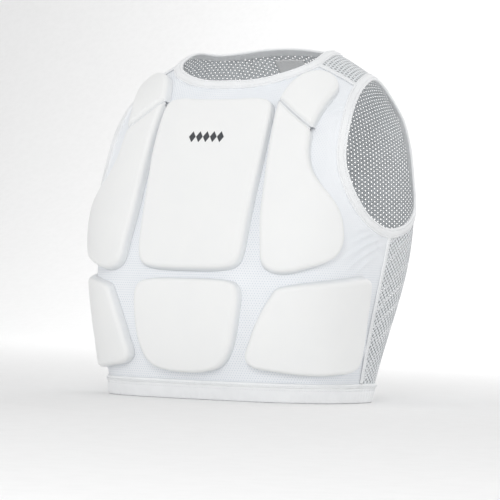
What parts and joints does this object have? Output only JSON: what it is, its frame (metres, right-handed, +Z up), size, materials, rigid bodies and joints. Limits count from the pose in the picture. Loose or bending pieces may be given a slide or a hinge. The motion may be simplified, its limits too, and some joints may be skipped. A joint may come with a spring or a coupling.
{
  "type": "padded chest protector vest",
  "caption": "Sleeveless cropped stretch vest with moulded foam pads over the chest, collarbones, ribs and belly, a mesh back, bound neck and armholes and a wide hem band.",
  "frame": {"origin": "centre of the footprint on the floor the hem stands on", "axes": "+Z up the body, -Y out of the chest, +X to the wearer's left"},
  "size_m": [0.331, 0.2788, 0.3821],
  "materials": {
    "front_knit": "fine micro-perforated stretch knit",
    "lining_knit": "plain lining knit",
    "back_mesh": "open power mesh",
    "band_cloth": "folded stretch binding",
    "elastic": "woven elastic",
    "seam_thread": "flatlock stitching",
    "pad_skin": "matte moulded skin",
    "pad_foam": "closed-cell foam",
    "emblem_print": "flat print",
    "label_cloth": "smooth woven label, blank"
  },
  "bodies": {
    "root": {"front_panel": "front_knit", "front_lining": "lining_knit", "back_panel": "back_mesh", "neck_band": "band_cloth", "armhole_band_left": "band_cloth", "armhole_band_right": "band_cloth", "hem_band": "band_cloth", "hem_elastic": "elastic", "hem_seam": "seam_thread", "shoulder_seam_left": "seam_thread", "shoulder_seam_right": "seam_thread", "side_seam_left": "seam_thread", "side_seam_right": "seam_thread", "sternum_pad_cover": "pad_skin", "sternum_pad_foam": "pad_foam", "belly_pad_cover": "pad_skin", "belly_pad_foam": "pad_foam", "chest_pad_cover_left": "pad_skin", "chest_pad_foam_left": "pad_foam", "chest_pad_cover_right": "pad_skin", "chest_pad_foam_right": "pad_foam", "shoulder_pad_cover_left": "pad_skin", "shoulder_pad_foam_left": "pad_foam", "shoulder_pad_cover_right": "pad_skin", "shoulder_pad_foam_right": "pad_foam", "rib_pad_cover_left": "pad_skin", "rib_pad_foam_left": "pad_foam", "rib_pad_cover_right": "pad_skin", "rib_pad_foam_right": "pad_foam", "chest_emblem": "emblem_print", "neck_label": "label_cloth"}
  },
  "joints": []
}
